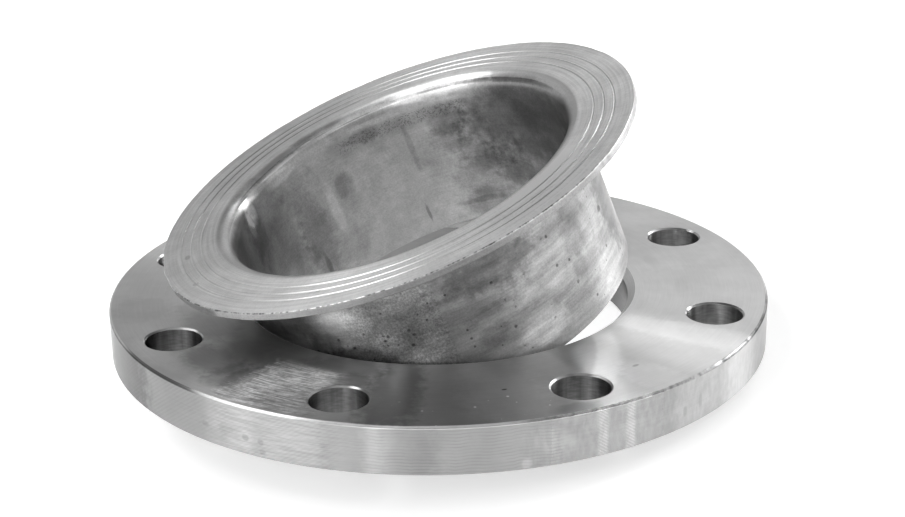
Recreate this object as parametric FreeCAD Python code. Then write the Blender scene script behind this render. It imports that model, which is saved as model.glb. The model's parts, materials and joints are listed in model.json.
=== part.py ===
import FreeCAD, Part
import math
import os

# A lap joint flange: a loose backing flange, and the stub end that leans in its bore.
# Lengths are millimetres. The origin is the centre of the flange's underside, +Z is the
# flange's axis, and the X and Y axes pass midway between two bolt holes.

# Stub end: a length of tube with one end turned out into a flat lap
tube_outer_dia = 159.0
tube_wall = 4.5
stub_length = 70.0
tube_end_break = 0.4
lap_width = 25.5
lap_thickness = 3.2
lap_edge_break = 0.3
mouth_radius = 6.5
heel_radius = 4.0

# Gasket grooves in the lap's face, V-shaped and concentric
groove_count = 3
groove_inset = 8.5
groove_pitch = 4.5
groove_width = 0.9
groove_depth = 0.35

# Backing flange: a flat ring that slides over the tube, behind the lap
bore_clearance = 3.3
bore_chamfer = 3.2
flange_thickness = 20.0
rim_margin = 20.0
rim_chamfer = 0.8

# Bolt holes
bolt_circle_dia = 240.0
bolt_hole_count = 8
bolt_hole_dia = 23.0
bolt_hole_chamfer = 0.7

# How the stub end leans in the bore: how far from upright, and towards which side
lean_deg = 20.9
lean_azimuth_deg = 194.7
seat_gap = 0.2

tube_radius = tube_outer_dia / 2
inner_radius = tube_radius - tube_wall
lap_radius = tube_radius + lap_width
bore_radius = (tube_outer_dia + bore_clearance) / 2
rim_radius = bolt_circle_dia / 2 + rim_margin


def rounded(centre_r, centre_z, radius, end):
    """A quarter round on the side of its centre that faces the axis and the lap's face."""
    reach = radius * math.sqrt(0.5)
    return (centre_r - reach, centre_z + reach), end


def turned(outline):
    """Revolves a closed outline about Z. Each step is a (radius, height) point, or a quarter
    round given as a pair of points: its middle and its end."""
    edges = []
    start = FreeCAD.Vector(outline[0][0], 0, outline[0][1])
    for step in outline[1:] + outline[:1]:
        if isinstance(step[0], tuple):
            middle, end = (FreeCAD.Vector(radius, 0, height) for radius, height in step)
            edges.append(Part.Arc(start, middle, end).toShape())
        else:
            end = FreeCAD.Vector(step[0], 0, step[1])
            edges.append(Part.LineSegment(start, end).toShape())
        start = end
    face = Part.Face(Part.Wire(edges))
    return face.revolve(FreeCAD.Vector(0, 0, 0), FreeCAD.Vector(0, 0, 1), 360)


def bolt_hole_cutter():
    """One bolt hole along Z, with its edge broken at the flange's upper face."""
    radius = bolt_hole_dia / 2
    top = flange_thickness
    return turned([
        (0, 0),
        (radius, 0),
        (radius, top - bolt_hole_chamfer),
        (radius + bolt_hole_chamfer, top),
        (0, top),
    ])


def backing_flange():
    top = flange_thickness
    ring = turned([
        (bore_radius, 0),
        (bore_radius, top - bore_chamfer),
        (bore_radius + bore_chamfer, top),
        (rim_radius - rim_chamfer, top),
        (rim_radius, top - rim_chamfer),
        (rim_radius, rim_chamfer),
        (rim_radius - rim_chamfer, 0),
    ])
    spacing = 360 / bolt_hole_count
    cutter = bolt_hole_cutter()
    holes = []
    for index in range(bolt_hole_count):
        hole = cutter.copy()
        hole.translate(FreeCAD.Vector(bolt_circle_dia / 2, 0, 0))
        hole.rotate(FreeCAD.Vector(0, 0, 0), FreeCAD.Vector(0, 0, 1), (index + 0.5) * spacing)
        holes.append(hole)
    return ring.cut(holes)


def gasket_grooves():
    """The outline's points across the grooves, from the lap's edge towards the axis."""
    points = []
    for index in range(groove_count):
        middle = lap_radius - groove_inset - index * groove_pitch
        points.append((middle + groove_width / 2, stub_length))
        points.append((middle, stub_length - groove_depth))
        points.append((middle - groove_width / 2, stub_length))
    return points


def upright_stub_end():
    """The stub end on the Z axis, with the tube's plain end at the origin."""
    face = stub_length
    back = face - lap_thickness
    heel_r = tube_radius + heel_radius
    heel_z = back - heel_radius
    mouth_r = inner_radius + mouth_radius
    mouth_z = face - mouth_radius
    return turned([
        (tube_radius - tube_end_break, 0),
        (tube_radius, tube_end_break),
        (tube_radius, heel_z),
        rounded(heel_r, heel_z, heel_radius, (heel_r, back)),
        (lap_radius - lap_edge_break, back),
        (lap_radius, back + lap_edge_break),
        (lap_radius, face - lap_edge_break),
        (lap_radius - lap_edge_break, face),
        *gasket_grooves(),
        (mouth_r, face),
        rounded(mouth_r, mouth_z, mouth_radius, (inner_radius, mouth_z)),
        (inner_radius, 0),
    ])


def leaning_in_bore(stub):
    """Leans the stub end until it wedges: its wall meets the bore on the side it leans to, and
    the rim of its plain end meets it at two points opposite. All three lie on the circle at the
    foot of the bore's chamfer."""
    lean = math.radians(lean_deg)
    seat_r = bore_radius - seat_gap
    seat_z = flange_thickness - bore_chamfer
    # A level cut through the leaning tube is an ellipse, longer than the tube is wide by this
    stretch = 1 / math.cos(lean)
    # Cosine of the angle round the rim, from its lowest point to where it crosses the seat
    crossing = (tube_radius * (stretch**2 + 1) - 2 * seat_r * stretch) / (
        tube_radius * (stretch**2 - 1)
    )
    rise = crossing * tube_radius * math.sin(lean)
    away = tube_radius * stretch - seat_r - rise * math.tan(lean)
    turn = math.radians(lean_azimuth_deg)
    side = FreeCAD.Vector(math.cos(turn), math.sin(turn), 0)
    up = FreeCAD.Vector(0, 0, 1)
    leaning = stub.copy()
    leaning.rotate(FreeCAD.Vector(0, 0, 0), up.cross(side), lean_deg)
    leaning.translate(up * (seat_z + rise) - side * away)
    return leaning


os.makedirs("parts", exist_ok=True)
backing_flange().exportStep("parts/backing_flange.step")
leaning_in_bore(upright_stub_end()).exportStep("parts/stub_end.step")
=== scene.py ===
import json
import math

import bmesh
import bpy
from mathutils import Matrix, Vector, noise


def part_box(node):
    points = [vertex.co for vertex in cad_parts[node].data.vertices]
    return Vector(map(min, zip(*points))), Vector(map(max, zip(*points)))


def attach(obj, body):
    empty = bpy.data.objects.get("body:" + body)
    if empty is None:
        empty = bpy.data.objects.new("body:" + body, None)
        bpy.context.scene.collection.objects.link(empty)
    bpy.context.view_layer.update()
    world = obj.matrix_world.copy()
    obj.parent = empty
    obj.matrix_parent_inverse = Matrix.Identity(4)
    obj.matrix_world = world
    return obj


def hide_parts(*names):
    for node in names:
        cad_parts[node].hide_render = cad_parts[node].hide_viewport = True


# A lap joint flange: the loose backing flange, and the stub end that leans in its bore.
# Both pieces are turned meshes that stand for the two solids of the model, to the same sizes.
# Sizes are metres, and MM turns a size in millimetres into metres.

MM = 0.001

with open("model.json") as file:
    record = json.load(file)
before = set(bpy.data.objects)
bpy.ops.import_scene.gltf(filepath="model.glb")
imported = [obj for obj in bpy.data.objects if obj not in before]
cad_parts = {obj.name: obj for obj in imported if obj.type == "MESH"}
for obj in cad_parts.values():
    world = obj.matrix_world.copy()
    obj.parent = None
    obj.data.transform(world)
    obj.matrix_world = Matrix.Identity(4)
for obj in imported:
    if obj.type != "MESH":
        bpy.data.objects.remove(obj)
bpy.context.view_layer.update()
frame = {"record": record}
mounts = {mount["name"]: mount for mount in frame["record"]["mounts"]}

# Backing flange
rim_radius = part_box("backing_flange")[1].x
flange_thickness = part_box("backing_flange")[1].z
bolt_circle_radius = mounts["bolt_holes"]["dims"]["pcd_mm"] / 2 * MM
bolt_hole_count = mounts["bolt_holes"]["dims"]["count"]
bolt_hole_radius = mounts["bolt_holes"]["dims"]["hole_r_mm"] * MM
bolt_hole_chamfer = 0.7 * MM
bore_radius = 81.15 * MM
bore_chamfer = 3.2 * MM
rim_chamfer = 0.8 * MM
edge_radius = 0.15 * MM

# Stub end
inner_radius = mounts["pipe_bore"]["dims"]["r_mm"] * MM
bore_length = mounts["pipe_bore"]["dims"]["length_mm"] * MM
stub_axis = Vector(mounts["pipe_bore"]["axis"])
stub_base = Vector(mounts["pipe_bore"]["pos_m"]) - stub_axis * bore_length / 2
stub_lean = Vector((0, 0, 1)).rotation_difference(stub_axis)
tube_radius = inner_radius + 4.5 * MM
mouth_radius = 6.5 * MM
heel_radius = 4.0 * MM
stub_length = bore_length + mouth_radius
lap_radius = tube_radius + 25.5 * MM
lap_thickness = 3.2 * MM
tube_end_break = 0.4 * MM
lap_edge_break = 0.3 * MM

# Gasket grooves in the lap's face
groove_count = 3
groove_inset = 8.5 * MM
groove_pitch = 4.5 * MM
groove_width = 0.9 * MM
groove_depth = 0.35 * MM

# Wear of the edges
lap_edge_wear = 0.5 * MM
lap_chip = 1.2 * MM
lap_chip_turn = 187
rim_nick = 0.25 * MM
rim_nick_start = 285
rim_nick_end = 330

# Mesh fineness
turn_steps = 720
hole_steps = 96
corner_steps = 4
curve_steps = 20


def rounded_path(corners):
    """Points along a path. Each corner is (radius, height, rounding, steps), and the first and
    the last only give the directions in which the path starts and ends."""
    points = []
    for index in range(1, len(corners) - 1):
        corner_r, corner_z, rounding, steps = corners[index]
        corner = Vector((corner_r, corner_z))
        before = (Vector(corners[index - 1][:2]) - corner).normalized()
        after = (Vector(corners[index + 1][:2]) - corner).normalized()
        half = before.angle(after) / 2
        centre = corner + (before + after).normalized() * rounding / math.sin(half)
        arm = corner + before * rounding / math.tan(half) - centre
        sweep = math.copysign(math.pi - 2 * half, -before.cross(after))
        for step in range(steps + 1):
            points.append(centre + Matrix.Rotation(sweep * step / steps, 2) @ arm)
    return points


def add_turned(build, path, steps, centre=(0, 0), closed=False, shape=None):
    """Adds a surface of revolution about an upright line, and returns its rings of edges at the
    path's start and end. shape(radius, height, turn) may move a point."""
    rows = []
    for step in range(steps):
        turn = 2 * math.pi * step / steps
        row = []
        for radius, height in path:
            if shape:
                radius, height = shape(radius, height, turn)
            x = centre[0] + radius * math.cos(turn)
            y = centre[1] + radius * math.sin(turn)
            row.append(build.verts.new((x, y, height)))
        rows.append(row)
    spans = len(path) if closed else len(path) - 1
    for row, next_row in zip(rows, rows[1:] + rows[:1]):
        for index in range(spans):
            other = (index + 1) % len(path)
            build.faces.new((row[index], row[other], next_row[other], next_row[index]))
    rings = []
    for index in (0, -1):
        rings.append([
            build.edges.get((row[index], next_row[index]))
            for row, next_row in zip(rows, rows[1:] + rows[:1])
        ])
    return rings


def finished_piece(name, build):
    """An object from a closed mesh. Flat faces shade flat, and rounded edges shade round."""
    bmesh.ops.recalc_face_normals(build, faces=build.faces)
    mesh = bpy.data.meshes.new(name)
    build.to_mesh(mesh)
    build.free()
    mesh.shade_smooth()
    piece = bpy.data.objects.new(name, mesh)
    bpy.context.scene.collection.objects.link(piece)
    even = piece.modifiers.new("even_shading", "WEIGHTED_NORMAL")
    even.weight = 100
    bpy.context.view_layer.update()
    evaluated = piece.evaluated_get(bpy.context.evaluated_depsgraph_get())
    shaded = bpy.data.meshes.new_from_object(evaluated)
    piece.modifiers.clear()
    piece.data = shaded
    bpy.data.meshes.remove(mesh)
    return piece


def wander(turn, bends, seed):
    """Smooth noise from -1 to 1 that has about this many bends in one turn."""
    reach = bends / (2 * math.pi)
    return noise.noise(Vector((reach * math.cos(turn), reach * math.sin(turn), seed)))


def nicked_rim(radius, height, turn):
    """Small nicks in the flange's upper edge, on the side where it has been knocked."""
    if height < flange_thickness - 2 * rim_chamfer:
        return radius, height
    knocked = rim_nick_start < math.degrees(turn) < rim_nick_end
    depth = rim_nick * (1.0 if knocked else 0.3)
    nick = depth * max(0, wander(turn, 150, 3) + wander(turn, 400, 4) - 0.1)
    if height < flange_thickness - rim_chamfer / 2:
        return radius, height - nick
    return radius - nick, height


def worn_lap(radius, height, turn):
    """The lap's outer edge is a little wavy, and has a chip on its low side."""
    if radius < lap_radius - 2 * lap_edge_break:
        return radius, height
    wear = lap_edge_wear * max(0, wander(turn, 60, 1) + 0.4 * wander(turn, 300, 2))
    away = (math.degrees(turn) - lap_chip_turn) / 12
    chip = lap_chip * max(0, wander(turn, 50, 7) + 0.2) * math.exp(-away * away)
    return radius - wear - chip, height


def backing_flange():
    top = flange_thickness
    edge = (edge_radius, corner_steps)
    face_run = 10 * MM
    build = bmesh.new()
    bore = add_turned(build, rounded_path([
        (bore_radius + face_run, 0, 0, 0),
        (bore_radius, 0, *edge),
        (bore_radius, top - bore_chamfer, *edge),
        (bore_radius + bore_chamfer, top, *edge),
        (bore_radius + face_run, top, 0, 0),
    ]), turn_steps)
    rim = add_turned(build, rounded_path([
        (rim_radius - face_run, 0, 0, 0),
        (rim_radius - rim_chamfer, 0, *edge),
        (rim_radius, rim_chamfer, *edge),
        (rim_radius, top - rim_chamfer, *edge),
        (rim_radius - rim_chamfer, top, *edge),
        (rim_radius - face_run, top, 0, 0),
    ]), turn_steps, shape=nicked_rim)
    hole_path = rounded_path([
        (bolt_hole_radius + face_run, 0, 0, 0),
        (bolt_hole_radius, 0, *edge),
        (bolt_hole_radius, top - bolt_hole_chamfer, *edge),
        (bolt_hole_radius + bolt_hole_chamfer, top, *edge),
        (bolt_hole_radius + face_run, top, 0, 0),
    ])
    rings = [bore, rim]
    for index in range(bolt_hole_count):
        turn = 2 * math.pi * (index + 0.5) / bolt_hole_count
        centre = (bolt_circle_radius * math.cos(turn), bolt_circle_radius * math.sin(turn))
        rings.append(add_turned(build, hole_path, hole_steps, centre))
    for face in (0, 1):
        edges = [edge for ring in rings for edge in ring[face]]
        bmesh.ops.triangle_fill(build, edges=edges, use_beauty=True)
    return finished_piece("turned_flange", build)


def stub_end():
    face = stub_length
    back = face - lap_thickness
    groove_edge = 0.05 * MM
    grooves = []
    for index in range(groove_count):
        middle = lap_radius - groove_inset - index * groove_pitch
        grooves += [
            (middle + groove_width / 2, face, groove_edge, 1),
            (middle, face - groove_depth, groove_edge, 2),
            (middle - groove_width / 2, face, groove_edge, 1),
        ]
    corners = [
        (inner_radius, 0, edge_radius, corner_steps),
        (tube_radius, 0, tube_end_break, corner_steps),
        (tube_radius, back, heel_radius, curve_steps),
        (lap_radius, back, lap_edge_break, corner_steps),
        (lap_radius, face, lap_edge_break, corner_steps),
        *grooves,
        (inner_radius, face, mouth_radius, curve_steps),
    ]
    path = rounded_path([corners[-1], *corners, corners[0]])
    build = bmesh.new()
    add_turned(build, path, turn_steps, closed=True, shape=worn_lap)
    leaning = Matrix.Translation(stub_base) @ stub_lean.to_matrix().to_4x4()
    bmesh.ops.transform(build, matrix=leaning, verts=build.verts)
    return finished_piece("turned_stub_end", build)


class Nodes:
    """Adds nodes to a material or to the world. An input is a number, a colour or a socket."""

    def __init__(self, owner):
        owner.use_nodes = True
        self.tree = owner.node_tree
        self.tree.nodes.clear()

    def add(self, kind, inputs=None, **settings):
        node = self.tree.nodes.new(kind)
        for name, value in settings.items():
            setattr(node, name, value)
        for name, value in (inputs or {}).items():
            if isinstance(value, bpy.types.NodeSocket):
                self.tree.links.new(value, node.inputs[name])
            else:
                node.inputs[name].default_value = value
        return node

    def math(self, operation, first, second=0.0):
        return self.add("ShaderNodeMath", {0: first, 1: second}, operation=operation).outputs[0]

    def plus(self, first, second):
        return self.math("ADD", first, second)

    def times(self, first, second):
        return self.math("MULTIPLY", first, second)

    def step(self, value, start, end, low=0.0, high=1.0):
        """low where value is under start, high where it is over end, and smooth between."""
        ends = {"Value": value, "From Min": start, "From Max": end, "To Min": low, "To Max": high}
        return self.add("ShaderNodeMapRange", ends, interpolation_type="SMOOTHSTEP").outputs[0]

    def spread(self, value, low, high):
        """Noise around a half, drawn out to run from low to high."""
        return self.step(value, 0.3, 0.7, low, high)

    def window(self, value, start, end, start_blur, end_blur):
        """1 where value is between start and end, and 0 elsewhere."""
        rise = self.step(value, start - start_blur, start + start_blur)
        fall = self.step(value, end - end_blur, end + end_blur, 1.0, 0.0)
        return self.times(rise, fall)

    def waves(self, value, length):
        """Waves from -1 to 1, this long along value."""
        return self.math("SINE", self.times(value, 2 * math.pi / length))

    def blend(self, share, first, second):
        """first where share is 0, and second where it is 1."""
        inputs = {0: share, 2: first, 3: second}
        return self.add("ShaderNodeMix", inputs, data_type="FLOAT").outputs[0]

    def shade(self, grey, mask, brightness):
        """grey, times brightness where mask is 1."""
        return self.times(grey, self.blend(mask, 1.0, brightness))

    def point(self, x, y, z):
        return self.add("ShaderNodeCombineXYZ", {0: x, 1: y, 2: z}).outputs[0]

    def stretched(self, point, scale):
        """The point, times the scale of each axis."""
        return self.add("ShaderNodeMapping", {"Vector": point, "Scale": scale}).outputs[0]

    def noise(self, point, scale=1.0, detail=3.0, roughness=0.5):
        inputs = {"Vector": point, "Scale": scale, "Detail": detail, "Roughness": roughness}
        return self.add("ShaderNodeTexNoise", inputs).outputs["Fac"]

    def ramp(self, value, stops):
        node = self.add("ShaderNodeValToRGB", {"Fac": value})
        elements = node.color_ramp.elements
        while len(elements) < len(stops):
            elements.new(0.5)
        for element, (place, grey) in zip(elements, stops):
            element.position = place
            element.color = (grey, grey, grey, 1)
        return node.outputs[0]


# The blur of an oval mark's edge, as a share of its size, and a place far from every mark
oval_mark_blur = 0.35
no_place = -100.0


class Turned(Nodes):
    """A material for a turned piece. Places are millimetres from the piece's base: radius from
    its axis, height along it, and the turn round it in degrees, from 0 to 360."""

    def __init__(self, name, base=(0, 0, 0), lean=(0, 0, 0)):
        self.material = bpy.data.materials.new(name)
        super().__init__(self.material)
        self.place = self.add("ShaderNodeMapping", {
            "Vector": self.add("ShaderNodeTexCoord").outputs["Object"],
            "Location": base,
            "Rotation": lean,
            "Scale": (MM, MM, MM),
        }, vector_type="TEXTURE").outputs[0]
        x, y, self.height = self.add("ShaderNodeSeparateXYZ", {0: self.place}).outputs
        self.radius = self.math("SQRT", self.plus(self.times(x, x), self.times(y, y)))
        turn = self.math("DEGREES", self.math("ARCTAN2", y, x))
        self.turn = self.math("FLOORED_MODULO", turn, 360.0)
        self.cosine = self.math("DIVIDE", x, self.radius)
        self.sine = self.math("DIVIDE", y, self.radius)
        self.ragged = self.plus(self.noise(self.place, 0.25, 4.0, 0.6), -0.5)
        self.ragged_turn = self.plus(self.turn, self.times(self.ragged, 8.0))

    def rings(self, across, pitch, breaks, detail=3.0):
        """Noise drawn out round the axis. across runs across the rings, pitch is the distance
        between two, and a ring breaks up more often with more breaks."""
        x = self.times(across, 1 / pitch)
        y = self.times(self.cosine, breaks)
        z = self.times(self.sine, breaks)
        return self.noise(self.point(x, y, z), detail=detail)

    def over_zero(self, start, full, fade, end):
        """1 round the turn 0. It grows from start to full, and fades from fade to end."""
        before = self.step(self.turn, start, full)
        after = self.step(self.turn, fade, end, 1.0, 0.0)
        return self.plus(before, after)

    def shade_turns(self, grey, mask, parts, turn=None):
        """grey, with parts of mask in another brightness. Each part has the turns where it starts
        and ends, the blur of its start and end, and its brightness."""
        if turn is None:
            turn = self.turn
        for start, end, start_blur, end_blur, brightness in parts:
            part = self.window(turn, start, end, start_blur, end_blur)
            grey = self.shade(grey, self.times(mask, part), brightness)
        return grey

    def pits(self, spacing, size, share):
        """1 in small pits, in this share of cells of about this spacing."""
        cells = self.add("ShaderNodeTexVoronoi", {"Vector": self.place, "Scale": 1 / spacing})
        chances = self.add("ShaderNodeSeparateColor", {0: cells.outputs["Color"]}).outputs
        uneven = self.times(self.plus(self.noise(self.place, 3 / size, 1.0), -0.5), 0.9)
        reach = self.math("DIVIDE", cells.outputs["Distance"], self.plus(chances[1], 0.35))
        reach = self.times(reach, self.plus(uneven, 1.0))
        pit = self.step(reach, size / spacing / 2, size / spacing, 1.0, 0.0)
        return self.times(pit, self.math("LESS_THAN", chances[0], share))

    def stain_and_paint_light(self, grey, across, stains):
        """grey with oval marks: some are stains, and others are painted light and shade. Each has
        the turn of its middle, the place of its middle across the turned lines, its half turn, its
        half width, and its brightness."""
        around = self.point(self.turn, across, 0.0)
        for turn, middle, half_turn, half_width, brightness in stains:
            away = self.add("ShaderNodeVectorMath", {
                0: around,
                1: (1 / half_turn, 1 / half_width, 0),
                2: (-turn / half_turn, -middle / half_width, 0),
            }, operation="MULTIPLY_ADD").outputs["Vector"]
            reach = self.add("ShaderNodeVectorMath", {0: away}, operation="LENGTH").outputs["Value"]
            edge = self.plus(reach, self.ragged)
            oval_mark = self.step(edge, 1 - oval_mark_blur, 1 + oval_mark_blur, brightness, 1.0)
            grey = self.times(grey, oval_mark)
        return grey

    def finish(self, grey, roughness, height, bump_mm, anisotropy):
        bump = self.add("ShaderNodeBump", {
            "Height": height,
            "Distance": bump_mm * MM,
            "Strength": 1.0,
        })
        tangent = self.add("ShaderNodeTangent", direction_type="RADIAL", axis="Z")
        shader = self.add("ShaderNodeBsdfPrincipled", {
            "Base Color": grey,
            "Metallic": 1.0,
            "Roughness": roughness,
            "Normal": bump.outputs[0],
            "Tangent": tangent.outputs[0],
            "Anisotropic": anisotropy,
            "Anisotropic Rotation": 0.25,
        })
        self.add("ShaderNodeOutputMaterial", {"Surface": shader.outputs[0]})
        return self.material


# Marks of the flange, for the method that draws oval marks. The small ones are marks in the
# steel, and the wide ones are painted light and shade over a whole part of it. A place is a
# radius on the top, and a height on the side.
top_stains_and_painted_light = [
    (278.6, 111.4, 0.5, 0.6, 0.2),
    (306.5, 117.0, 0.8, 0.8, 0.6),
    (217.0, 110.0, 8.0, 20.0, 0.8),
    (24.0, 105.0, 20.0, 50.0, 1.07),
    (257.0, 108.0, 5.5, 40.0, 0.48),
    (216.0, 117.0, 9.0, 9.0, 0.68),
    (223.5, 121.0, 3.5, 12.0, 0.66),
    (208.0, 132.0, 9.0, 5.0, 1.14),
    (233.0, 109.0, 4.0, 5.0, 1.2),
    (252.0, 119.0, 3.0, 6.0, 1.12),
    (188.0, 104.0, 5.0, 8.0, 0.82),
    (186.0, 126.0, 6.0, 12.0, 0.86),
    (10.0, 97.0, 4.0, 3.0, 0.93),
    (22.0, 120.0, 3.0, 5.0, 0.93),
    (352.0, 104.0, 5.0, 3.0, 0.94),
    (243.0, 92.0, 11.0, 8.0, 0.62),
    (199.0, 101.0, 9.0, 11.0, 0.75),
    (278.0, 108.0, 8.0, 40.0, 1.18),
    (326.0, 112.0, 4.5, 50.0, 1.2),
    (305.5, 128.0, 4.0, 16.0, 1.2),
    (288.0, 136.0, 4.0, 4.0, 0.65),
    (247.0, 104.0, 4.0, 8.0, 0.54),
    (226.5, 119.0, 2.5, 11.0, 0.62),
]
side_stains_and_painted_light = [
    (201.0, 10.0, 9.0, 25.0, 0.54),
    (215.0, 10.0, 14.0, 25.0, 0.88),
    (231.0, 10.0, 4.5, 25.0, 1.2),
    (251.0, 10.0, 3.5, 25.0, 0.86),
    (261.0, 10.0, 4.5, 25.0, 0.84),
    (234.4, 7.3, 0.6, 1.2, 0.75),
    (237.2, 7.0, 0.5, 1.2, 0.8),
    (237.5, 2.8, 0.6, 1.0, 0.8),
    (226.3, 7.9, 0.7, 1.0, 0.85),
    (230.5, 9.0, 1.5, 2.5, 0.9),
    (271.0, 10.0, 10.0, 20.0, 0.93),
    (283.5, 10.0, 3.0, 5.0, 1.12),
    (308.0, 7.5, 0.5, 2.0, 0.8),
    (311.8, 9.0, 0.4, 3.0, 0.85),
    (279.0, 2.5, 0.8, 2.0, 1.25),
    (311.0, 10.0, 5.0, 20.0, 1.16),
    (336.0, 10.0, 5.0, 20.0, 0.88),
]


class FlangeSteel(Turned):
    """The steel of the backing flange. Each method but the first and the last shades one part."""

    def __init__(self):
        super().__init__("flange_steel")
        self.top_mm = flange_thickness / MM
        self.rim_mm = rim_radius / MM

        # Where the top face and the side are, and noise along their turned lines
        self.top = self.step(self.height, self.top_mm - 0.2, self.top_mm - 0.05)
        self.side = self.step(self.radius, self.rim_mm - 0.8, self.rim_mm - 0.1)
        self.across = self.blend(self.top, self.height, self.radius)
        self.arc = self.times(self.turn, math.radians(self.rim_mm))
        self.slant = self.plus(self.height, self.times(self.arc, -0.67))
        self.fine = self.rings(self.across, 0.4, 5.0, 2.0)
        self.coarse = self.rings(self.across, 0.7, 14.0, 4.0)

        # A patch of the top face that is rubbed along the turned lines and carries a painted
        # highlight, and small bright specks
        patch = self.window(self.ragged_turn, 227, 245, 1.5, 5.0)
        patch = self.times(patch, self.window(self.radius, 98, 138, 4.0, 1.5))
        self.patch = self.times(patch, self.top)
        specks = self.times(self.top, self.pits(4.0, 0.6, 0.45))
        specks = self.times(specks, self.step(self.radius, 103, 106))
        self.specks = self.times(specks, self.window(self.turn, 254, 292, 3.0, 3.0))

    def top_face(self, grey):
        """The patch, rubbed along the turned lines and painted brighter as a highlight, the specks,
        painted shade near the bore on the left, and the top a little brighter on the right."""
        # The patch is painted brighter as a highlight, most of all nearer the bore
        grey = self.shade(grey, self.patch, self.step(self.radius, 100, 125, 1.5, 1.0))
        grey = self.shade(grey, self.patch, self.spread(self.coarse, 0.65, 1.45))
        mottle = self.noise(self.place, 0.5, 5.0, 0.75)
        grey = self.shade(grey, self.patch, self.spread(mottle, 0.8, 1.25))
        grey = self.shade(grey, self.specks, 1.9)
        # Painted shade near the bore on the left, for the lap's dark reflection
        near_bore = self.times(self.top, self.step(self.radius, 96, 122, 1.0, 0.0))
        near_bore = self.times(near_bore, self.step(self.patch, 0.0, 1.0, 1.0, 0.25))
        grey = self.shade_turns(grey, near_bore, [(192, 252, 6.0, 6.0, 0.55)])
        right = self.times(self.top, self.over_zero(335, 355, 50, 80))
        return self.shade(grey, right, 1.1)

    def painted_highlight_band(self, grey):
        """A painted highlight: a brighter band across the top face, slanting away from the radius
        between two bands of painted shade."""
        band_turn = self.plus(self.turn, self.times(self.plus(self.radius, -112.0), 0.55))
        band_turn = self.plus(band_turn, self.times(self.ragged, 2.0))
        around = self.times(self.top, self.window(self.turn, 296, 318, 1.5, 4.0))
        before = self.times(around, self.step(band_turn, 292.0, 298.0, 1.0, 0.0))
        grey = self.shade(grey, before, 0.76)
        grey = self.shade_turns(grey, around, [(297.5, 305, 1.0, 1.5, 1.24)], band_turn)
        return self.shade_turns(grey, around, [(307, 312, 1.5, 2.0, 0.93)])

    def side_lines(self, grey):
        """From the left: a fine slanting hatch on rubbed lines, then wavy lines, then smears."""
        grey = self.shade(grey, self.side, 0.9)
        grey = self.shade_turns(grey, self.side, [(281, 306, 4.0, 4.0, 0.88)])
        rubbed = self.times(self.side, self.window(self.ragged_turn, 228, 250, 3.0, 4.0))
        grey = self.shade(grey, rubbed, self.spread(self.coarse, 0.85, 1.08))
        uneven = self.spread(self.noise(self.place, 0.15, 3.0), 0.2, 1.0)
        hatched = self.times(self.side, self.window(self.turn, 203, 250, 4.0, 6.0))
        hatch = self.step(self.waves(self.slant, 1.7), -1.0, 1.0, 0.94, 1.04)
        grey = self.shade(grey, self.times(hatched, uneven), hatch)
        wavy = self.times(self.side, self.window(self.turn, 253, 285, 3.0, 2.0))
        bend = self.noise(self.point(self.arc, self.times(self.height, 0.2), 0.0), 0.08)
        ridge = self.waves(self.plus(self.height, self.times(bend, 3.0)), 1.3)
        grey = self.shade(grey, self.times(wavy, uneven), self.step(ridge, 0.0, 1.0, 1.02, 0.86))
        smears = self.noise(self.point(self.arc, self.times(self.height, 0.4), 0.0), 0.45, 4.0, 0.6)
        smears = self.spread(smears, 0.91, 1.07)
        return self.shade_turns(grey, self.side, [(279, 345, 3.0, 5.0, smears)])

    def painted_reflection_bands(self, grey):
        """Two upright bands of painted reflection on the side, which is also smoother there."""
        weave = self.waves(self.plus(self.slant, self.times(self.arc, 1.4)), 1.3)
        weave = self.step(weave, -1.0, 1.0, 1.2, 1.42)
        return self.shade_turns(grey, self.side, [
            (290.8, 292.4, 0.5, 0.5, weave),
            (295.8, 297.4, 0.5, 0.5, weave),
        ])

    def edge_wear_and_painted_light(self, grey):
        """The edge round the top: painted shade on the left, a painted highlight in front, and
        chips on the right, where its highlight is also dimmed.
        """
        edge_mm = self.rim_mm + self.top_mm - 1.05
        edge = self.step(self.plus(self.radius, self.height), edge_mm - 0.15, edge_mm + 0.15)
        low_edge = self.step(self.height, self.top_mm - 0.55, self.top_mm - 0.4, 0.5, 1.0)
        worn_and_dimmed = self.spread(self.rings(self.height, 2.0, 14.0, 4.0), 0.2, 0.75)
        worn_and_dimmed = self.times(worn_and_dimmed, low_edge)
        chips = self.spread(self.rings(self.height, 2.0, 50.0, 4.0), 0.6, 1.15)
        return self.shade_turns(grey, edge, [
            (203, 224, 3.0, 2.0, 0.35),
            (250, 302, 4.0, 4.0, 1.9),
            (316, 350, 4.0, 4.0, worn_and_dimmed),
            (280, 335, 5.0, 5.0, chips),
        ])

    def hole_walls(self, grey):
        """The walls of the bolt holes, painted darker as shade in bands along the drilling, with
        marks across it. The holes on the right are painted lighter, and one on the left darker.
        """
        walls = self.step(self.height, self.top_mm - 0.8, self.top_mm - 0.6, 1.0, 0.0)
        walls = self.times(walls, self.step(self.side, 0.0, 0.1, 1.0, 0.0))
        walls = self.times(walls, self.step(self.radius, 90, 95))
        bands = self.noise(self.stretched(self.place, (0.25, 0.25, 0.02)))
        grey = self.shade(grey, walls, self.spread(bands, 0.34, 0.66))
        marks = self.noise(self.stretched(self.place, (0.25, 0.25, 1.2)))
        grey = self.shade(grey, walls, self.spread(marks, 0.85, 1.15))
        return self.shade_turns(grey, walls, [
            (15, 30, 1.0, 1.0, 1.45),
            (195, 210, 1.0, 1.0, 0.78),
            (330, 345, 1.0, 1.0, 1.4),
        ])

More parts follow.
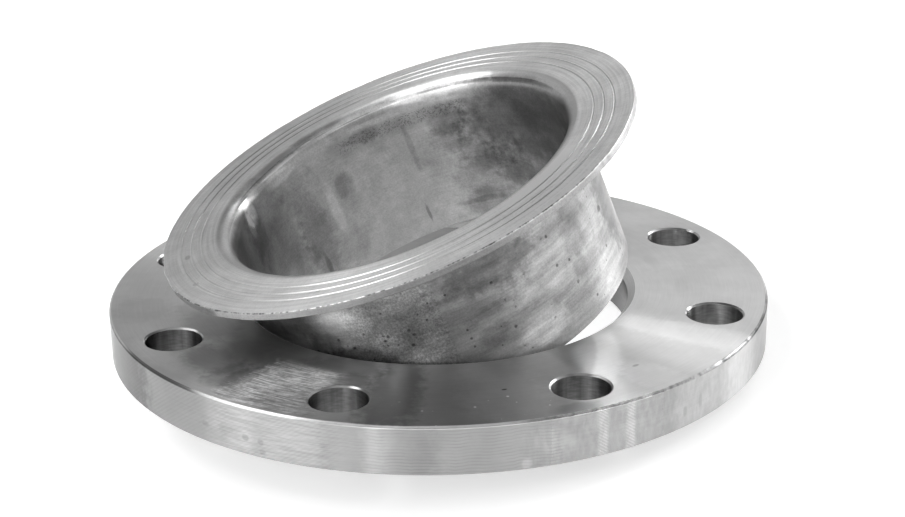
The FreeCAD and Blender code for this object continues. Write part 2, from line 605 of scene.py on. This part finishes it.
    def bore(self, grey):
        """The bore's wall is painted dark as shade and its chamfer bright as a highlight. Its far
        part is painted brighter, and its right a little darker.
        """
        chamfer_top_mm = (bore_radius + bore_chamfer) / MM
        chamfer_foot_mm = (flange_thickness - bore_chamfer) / MM
        in_bore = self.step(self.radius, chamfer_top_mm - 0.05, chamfer_top_mm + 0.25, 1.0, 0.0)
        chamfer = self.step(self.height, chamfer_foot_mm - 0.1, chamfer_foot_mm + 0.1)
        wall = self.plus(1.0, self.times(chamfer, -1.0))
        grey = self.shade(grey, self.times(in_bore, chamfer), 1.9)
        grey = self.shade(grey, self.times(in_bore, wall), 0.37)
        grey = self.shade_turns(grey, in_bore, [(35, 150, 10.0, 10.0, 1.9)])
        return self.shade(grey, self.times(in_bore, self.over_zero(320, 335, 20, 35)), 0.8)

    def made(self):
        cloud = self.noise(self.place, 0.05, 5.0, 0.6)
        grey = self.times(self.spread(self.fine, 0.475, 0.505), self.spread(cloud, 0.94, 1.06))
        grey = self.top_face(grey)
        grey = self.painted_highlight_band(grey)
        grey = self.side_lines(grey)
        grey = self.painted_reflection_bands(grey)
        grey = self.edge_wear_and_painted_light(grey)
        grey = self.hole_walls(grey)
        grey = self.bore(grey)
        grey = self.stain_and_paint_light(grey, self.blend(self.top, no_place, self.radius), top_stains_and_painted_light)
        grey = self.stain_and_paint_light(grey, self.blend(self.side, no_place, self.height), side_stains_and_painted_light)
        side_roughness = self.blend(self.window(self.turn, 282, 304, 4.0, 4.0), 0.32, 0.25)
        roughness = self.blend(self.side, self.spread(self.coarse, 0.28, 0.33), side_roughness)
        roughness = self.blend(self.specks, roughness, 0.9)
        height = self.plus(self.fine, self.times(self.patch, self.coarse))
        return self.finish(grey, roughness, height, bump_mm=0.006, anisotropy=0.98)


# Marks of the stub end, for the method that draws oval marks. Some are stains, and others
# are painted light and shade: highlights round the mouth and on the outside, shade deep in
# the tube, and shade low on the outside where the tube meets the flange. A place is a
# height on the tube's inside and outside, and a radius on the lap's face.
inside_stains_and_painted_light = [
    (101.0, 58.5, 6.0, 3.5, 0.65),
    (114.0, 41.0, 3.5, 6.0, 0.72),
    (120.5, 33.0, 2.0, 12.0, 1.35),
    (150.0, 42.0, 13.0, 30.0, 0.7),
    (158.0, 50.0, 6.0, 12.0, 0.7),
    (38.0, 48.0, 26.0, 22.0, 0.54),
    (60.0, 38.0, 12.0, 14.0, 0.72),
    (42.0, 27.0, 18.0, 12.0, 0.68),
    (66.0, 30.0, 8.0, 10.0, 0.8),
    (130.0, 20.0, 8.0, 20.0, 0.85),
    (156.5, 60.8, 3.4, 5.2, 3.2),
    (62.0, 21.0, 14.0, 12.0, 0.75),
    (144.0, 23.0, 10.0, 11.0, 0.75),
    (119.5, 12.5, 6.0, 8.0, 0.82),
    (78.0, 38.0, 9.0, 12.0, 0.85),
    (166.0, 52.0, 12.0, 20.0, 0.88),
    (80.0, 65.0, 30.0, 5.0, 1.3),
    (136.0, 63.5, 7.0, 3.0, 1.6),
    (175.0, 63.0, 11.0, 2.5, 1.5),
    (38.0, 67.5, 16.0, 2.2, 1.5),
    (66.0, 7.0, 9.0, 9.0, 0.62),
    (159.0, 56.5, 1.8, 5.0, 1.8),
    (51.0, 20.0, 8.0, 6.0, 0.6),
    (72.0, 52.0, 7.0, 8.0, 0.58),
    (48.0, 50.0, 22.0, 12.0, 0.8),
    (73.0, 44.0, 6.0, 8.0, 0.75),
    (131.0, 28.0, 6.0, 22.0, 0.7),
    (70.0, 9.0, 8.0, 1.5, 0.7),
    (90.2, 10.0, 0.5, 4.5, 0.55),
    (87.0, 44.0, 1.0, 14.0, 0.8),
    (132.0, 11.0, 1.0, 7.0, 0.65),
]
outside_stains_and_painted_light = [
    (238.0, 48.0, 8.0, 6.0, 1.25),
    (246.0, 44.0, 5.0, 5.0, 1.35),
    (212.0, 32.0, 24.0, 12.0, 0.5),
    (240.0, 27.0, 16.0, 7.0, 0.6),
    (243.0, 29.0, 12.0, 5.0, 0.55),
    (233.0, 37.0, 6.0, 5.0, 0.7),
    (258.0, 57.0, 12.0, 4.0, 1.2),
    (290.0, 48.0, 15.0, 9.0, 0.62),
    (282.0, 54.0, 14.0, 8.0, 0.75),
    (285.0, 30.0, 10.0, 4.0, 0.85),
    (318.0, 37.0, 5.0, 8.0, 0.85),
    (318.0, 35.0, 26.0, 40.0, 0.82),
    (275.0, 28.0, 22.0, 16.0, 0.93),
    (284.0, 48.0, 18.0, 7.0, 0.76),
    (280.0, 56.5, 18.0, 4.0, 0.78),
    (256.0, 39.0, 4.0, 5.0, 1.25),
    (278.0, 38.0, 14.0, 8.0, 0.74),
    (322.0, 38.0, 7.0, 28.0, 0.72),
    (346.5, 36.0, 9.5, 26.0, 0.46),
    (331.0, 42.0, 5.0, 22.0, 0.75),
    (232.5, 50.0, 4.0, 4.0, 1.35),
    (296.0, 40.0, 4.0, 7.0, 0.78),
    (297.5, 13.0, 8.0, 7.0, 1.8),
    (312.0, 49.0, 6.0, 4.0, 0.8),
    (306.0, 29.0, 4.0, 4.0, 1.3),
    (318.0, 30.0, 3.0, 9.0, 1.3),
    (322.0, 14.0, 5.0, 5.0, 1.2),
    (336.5, 33.5, 1.2, 1.2, 0.4),
    (253.0, 33.0, 5.0, 5.0, 1.6),
    (322.0, 48.0, 6.0, 6.0, 0.7),
    (317.0, 24.0, 3.0, 5.0, 0.7),
    (282.5, 21.0, 5.0, 5.0, 0.7),
    (264.0, 26.0, 5.5, 5.0, 1.5),
]
lap_stains_and_painted_light = [
    (121.6, 78.7, 0.7, 0.8, 0.5),
    (111.8, 81.3, 0.6, 0.6, 1.4),
    (186.0, 94.0, 1.2, 1.2, 0.7),
    (203.0, 97.0, 0.8, 1.2, 0.7),
    (246.0, 92.5, 0.8, 0.7, 0.55),
    (312.0, 85.0, 14.0, 6.0, 1.3),
]


class StubSteel(Turned):
    """The steel of the stub end. Each method but the first and the last shades one part."""

    def __init__(self):
        super().__init__("stub_steel", stub_base, stub_lean.to_euler())
        self.top_mm = stub_length / MM
        self.rim_mm = lap_radius / MM
        self.inner_mm = inner_radius / MM
        back_mm = (stub_length - lap_thickness) / MM
        tube_mm = tube_radius / MM

        # Where the lap's face and the tube's inside and outside are
        face = self.step(self.radius, self.inner_mm + 3.0, self.inner_mm + 7.0)
        self.face = self.times(face, self.step(self.height, self.top_mm - 1.0, self.top_mm - 0.2))
        self.inside = self.step(self.radius, self.inner_mm + 0.5, self.inner_mm + 5.0, 1.0, 0.0)
        outside = self.step(self.radius, tube_mm - 2.5, tube_mm - 0.5)
        under_lap = self.step(self.height, back_mm - 0.8, back_mm + 0.1, 1.0, 0.0)
        self.outside = self.times(outside, under_lap)

        # Noise along the turned lines, and noise that has no direction
        self.across = self.blend(self.face, self.height, self.radius)
        self.fine = self.rings(self.across, 0.5, 4.0, 3.0)
        self.cloud = self.noise(self.place, 0.07, 6.0, 0.65)
        self.grain = self.noise(self.place, 1.2, 3.0, 0.75)

    def inner_wall(self, grey):
        """The tube's inside has cloudy stains, and dark speckles under the far side of the mouth.
        Its oval marks are more stains, painted shade deep in the tube, and painted highlights near
        the mouth.
        """
        grey = self.shade(grey, self.inside, self.spread(self.cloud, 0.75, 1.15))
        speckled = self.times(self.inside, self.step(self.grain, 0.5, 0.58))
        speckled = self.times(speckled, self.window(self.height, 54, 61, 2.0, 1.0))
        grey = self.shade_turns(grey, speckled, [(62, 112, 4.0, 4.0, 0.5)])
        return self.stain_and_paint_light(grey, self.blend(self.inside, no_place, self.height), inside_stains_and_painted_light)

    def mouth(self, grey):
        """The mouth's rounding has painted highlights along its far side, and painted shade on its
        left.
        """
        rounding = self.window(self.radius, self.inner_mm + 0.6, self.inner_mm + 5.5, 0.4, 0.8)
        upper = self.step(self.height, self.top_mm - 4.0, self.top_mm - 3.0)
        rounding = self.times(rounding, upper)
        grey = self.shade_turns(grey, rounding, [
            (50, 68, 2.0, 5.0, 1.6),
            (82, 152, 5.0, 5.0, 1.55),
            (100, 112, 4.0, 4.0, 1.25),
            (126, 142, 4.0, 3.0, 1.9),
        ], self.ragged_turn)
        return self.shade_turns(grey, rounding, [(161, 185, 2.0, 6.0, 0.75)])

    def outer_wall(self, grey):
        """The tube's outside is brushed round, cloudy and pitted. Its oval marks are a few stains,
        painted shade low on the left where it meets the flange, and painted shade and highlights
        elsewhere.
        """
        coarse = self.rings(self.across, 1.2, 8.0, 5.0)
        grey = self.shade(grey, self.outside, self.spread(coarse, 0.92, 1.08))
        broad = self.rings(self.across, 6.0, 3.0, 6.0)
        grey = self.shade(grey, self.outside, self.spread(broad, 0.78, 1.22))
        grainy = self.spread(self.grain, 0.75, 1.2)
        grey = self.shade_turns(grey, self.outside, [(243, 271, 4.0, 0.6, grainy)])
        pitted = self.times(self.outside, self.step(self.cloud, 0.42, 0.55))
        grey = self.shade(grey, self.times(pitted, self.pits(2.6, 0.75, 0.2)), 0.35)
        cluster = self.times(self.outside, self.pits(2.0, 0.8, 0.55))
        cluster = self.times(cluster, self.window(self.height, 29, 38, 2.0, 2.0))
        grey = self.shade_turns(grey, cluster, [(251, 262, 2.0, 2.0, 0.25)])
        return self.stain_and_paint_light(grey, self.blend(self.outside, no_place, self.height), outside_stains_and_painted_light)

    def lap_face(self, grey):
        """The lap's face has fine turned lines, scuffs across them and small stains, and painted
        reflections: brighter from the front round to the right, and darker on the left.
        """
        lines = self.rings(self.across, 1.2, 3.0, 4.0)
        grey = self.shade(grey, self.face, self.spread(lines, 0.9, 1.1))
        grey = self.shade(grey, self.face, self.spread(self.cloud, 0.92, 1.06))
        grey = self.shade(grey, self.face, self.spread(self.grain, 0.95, 1.05))
        across_lines = self.point(self.times(self.turn, 1.2), self.times(self.radius, 0.15), 0.0)
        scuffs = self.noise(across_lines, 1.0, 3.0, 0.7)
        grey = self.shade(grey, self.face, self.spread(scuffs, 0.96, 1.04))
        grey = self.shade(grey, self.times(self.face, self.over_zero(270, 296, 10, 40)), 1.25)
        grey = self.shade_turns(grey, self.face, [
            (165, 205, 10.0, 10.0, 0.88),
            (275, 325, 8.0, 8.0, 1.14),
        ])
        return self.stain_and_paint_light(grey, self.blend(self.face, no_place, self.radius), lap_stains_and_painted_light)

    def grooves(self, grey):
        """The gasket grooves are painted darker than the face as shade in them, and darker still
        on the right and at the back.
        """
        below_face = self.step(self.height, self.top_mm - 0.2, self.top_mm - 0.02, 1.0, 0.0)
        grooved = self.times(self.face, below_face)
        grey = self.shade(grey, grooved, 0.82)
        grey = self.shade(grey, self.times(grooved, self.over_zero(335, 345, 50, 58)), 0.6)
        return self.shade_turns(grey, grooved, [(92, 140, 5.0, 20.0, 0.6)])

    def lap_edge(self, grey):
        """The lap's edge has a broken burr, and its side is painted darker in front as shade."""
        burr = self.window(self.radius, self.rim_mm - 0.5, self.rim_mm + 0.2, 0.1, 0.1)
        burr = self.times(burr, self.step(self.height, self.top_mm - 0.5, self.top_mm - 0.3))
        dashes = self.spread(self.rings(self.height, 3.0, 60.0, 2.0), 0.15, 1.05)
        grey = self.shade_turns(grey, burr, [(200, 320, 8.0, 20.0, dashes)])
        lap_side = self.step(self.radius, self.rim_mm - 1.0, self.rim_mm - 0.1)
        below_face = self.step(self.height, self.top_mm - 0.6, self.top_mm - 0.2, 1.0, 0.0)
        return self.shade_turns(grey, self.times(lap_side, below_face), [
            (238, 335, 10.0, 10.0, 0.75),
            (258, 290, 8.0, 8.0, 0.6),
        ])

    def made(self):
        grey = self.blend(self.face, 0.47, 0.69)
        grey = self.times(grey, self.spread(self.fine, 0.96, 1.04))
        grainy = self.spread(self.grain, 0.88, 1.12)
        grey = self.times(grey, self.blend(self.face, grainy, 1.0))
        grey = self.inner_wall(grey)
        grey = self.mouth(grey)
        grey = self.outer_wall(grey)
        grey = self.lap_face(grey)
        grey = self.grooves(grey)
        grey = self.lap_edge(grey)
        roughness = self.blend(self.face, self.spread(self.cloud, 0.3, 0.42), 0.4)
        height = self.plus(self.fine, self.times(self.grain, 0.5))
        anisotropy = self.blend(self.inside, self.blend(self.face, 0.6, 0.5), 0.9)
        return self.finish(grey, roughness, height, bump_mm=0.01, anisotropy=anisotropy)


def dress(piece, material, node):
    piece.data.materials.clear()
    piece.data.materials.append(material)
    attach(piece, "root")
    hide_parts(node)


dress(backing_flange(), FlangeSteel().made(), "backing_flange")
dress(stub_end(), StubSteel().made(), "stub_end")

# The camera's place, the directions of its right and its up, and its lens
camera_place = Vector((-52.269, -774.224, 327.800)) * MM
camera_right = Vector((0.996494, -0.081892, -0.017104))
camera_up = Vector((0.045109, 0.353774, 0.934243))
camera_lens_mm = 77.16
camera_sensor_mm = 36.0


def place_camera():
    back = camera_right.cross(camera_up)
    turn = Matrix((camera_right, camera_up, back)).transposed().to_4x4()
    data = bpy.data.cameras.new("camera")
    data.lens = camera_lens_mm
    data.sensor_width = camera_sensor_mm
    camera = bpy.data.objects.new("camera", data)
    camera.matrix_world = Matrix.Translation(camera_place) @ turn
    bpy.context.scene.collection.objects.link(camera)
    bpy.context.scene.camera = camera


# The floor's side, the brightness of its paint, and the strength of its glow
floor_size = 6.0
floor_paint = 0.75
floor_glow = 0.55


def floor_white():
    """White paint, with a glow that only the camera and reflections see. The floor so shows
    white, and still takes the object's shadow."""
    material = bpy.data.materials.new("floor")
    nodes = Nodes(material)
    path = nodes.add("ShaderNodeLightPath").outputs
    seen = nodes.math("MAXIMUM", path["Is Camera Ray"], path["Is Glossy Ray"])
    paint = nodes.add("ShaderNodeBsdfDiffuse", {"Color": (floor_paint,) * 3 + (1,)})
    glow = nodes.add("ShaderNodeEmission", {"Strength": nodes.times(seen, floor_glow)})
    both = nodes.add("ShaderNodeAddShader", {0: paint.outputs[0], 1: glow.outputs[0]})
    nodes.add("ShaderNodeOutputMaterial", {"Surface": both.outputs[0]})
    return material


def plain_floor():
    """A white floor that carries the object where it would rest: on the low rim of the stub
    end's tube, and on the flange's lower edge across from it."""
    side = Vector((stub_axis.x, stub_axis.y, 0)).normalized()
    downhill = (stub_axis * stub_axis.z - Vector((0, 0, 1))).normalized()
    low_rim = stub_base + downhill * (tube_radius - tube_end_break)
    flange_edge = -side * (rim_radius - rim_chamfer)
    slope = (flange_edge - low_rim).normalized()
    up = slope.cross(side.cross(Vector((0, 0, 1))))
    upright = Vector((0, 0, 1)).rotation_difference(up * math.copysign(1, up.z))
    mesh = bpy.data.meshes.new("floor")
    reach = floor_size / 2
    corners = [(-reach, -reach, 0), (reach, -reach, 0), (reach, reach, 0), (-reach, reach, 0)]
    mesh.from_pydata(corners, [], [(0, 1, 2, 3)])
    floor = bpy.data.objects.new("floor", mesh)
    bpy.context.scene.collection.objects.link(floor)
    floor.matrix_world = Matrix.Translation(low_rim) @ upright.to_matrix().to_4x4()
    mesh.materials.append(floor_white())


# Brightness of the studio's walls by the compass turn, then the height where they end and the
# blur there, in degrees, and the brightness of the ceiling above
walls = [
    (0, 1.35), (12, 1.2), (30, 0.9), (46, 0.7), (62, 1.2), (78, 1.1), (90, 0.5),
    (105, 0.4), (135, 0.8), (150, 0.3), (180, 0.4), (195, 1.1), (210, 1.2), (225, 1.1),
    (250, 0.7), (270, 0.3), (290, 0.4), (315, 1.1), (330, 1.4), (345, 1.35),
]
wall_top = 38.0
wall_top_blur = 4.0
ceiling = 0.1

# Soft boxes: the compass turns and the heights that they fill, in degrees, and their brightness.
# box_blur is the blur of their sides, in degrees.
box_blur = 0.8
soft_boxes = {
    "left": (130, 213, 41, 57, 4.8),
    "left_window": (197, 238, 15, 40, 2.3),
    "behind_low": (14, 32, 0, 16, 8.5),
    "behind": (20, 37, 16, 34, 9.5),
    "behind_high": (53, 62, 37, 43, 6.0),
    "behind_top": (64, 69, 45, 49, 32.0),
    "front_high": (238, 302, 42, 66, 0.8),
    "front_strip": (244, 250, 0, 22, 5.0),
}


def studio():
    world = bpy.data.worlds.new("studio")
    bpy.context.scene.world = world
    nodes = Nodes(world)
    direction = nodes.add("ShaderNodeTexCoord").outputs["Generated"]
    x, y, z = nodes.add("ShaderNodeSeparateXYZ", {0: direction}).outputs
    turn = nodes.math("FLOORED_MODULO", nodes.math("DEGREES", nodes.math("ARCTAN2", y, x)), 360.0)
    rise = nodes.math("DEGREES", nodes.math("ARCSINE", z))
    brightest = max(grey for angle, grey in walls)
    stops = [(angle / 360, grey / brightest) for angle, grey in walls]
    wall = nodes.ramp(nodes.math("DIVIDE", turn, 360.0), [*stops, (1.0, stops[0][1])])
    light = nodes.times(wall, brightest)
    above = nodes.step(rise, wall_top - wall_top_blur, wall_top + wall_top_blur)
    light = nodes.blend(above, light, ceiling)
    for start, end, low, high, brightness in soft_boxes.values():
        box = nodes.window(turn, start, end, box_blur, box_blur)
        box = nodes.times(box, nodes.window(rise, low, high, box_blur, box_blur))
        light = nodes.plus(light, nodes.times(box, brightness))
    camera_ray = nodes.add("ShaderNodeLightPath").outputs["Is Camera Ray"]
    shown = nodes.blend(camera_ray, light, 1.0)
    background = nodes.add("ShaderNodeBackground", {"Strength": shown})
    background.inputs["Color"].default_value = (1, 1, 1, 1)
    nodes.add("ShaderNodeOutputWorld", {"Surface": background.outputs[0]})


place_camera()
plain_floor()
studio()
bpy.context.scene.view_settings.view_transform = "Standard"
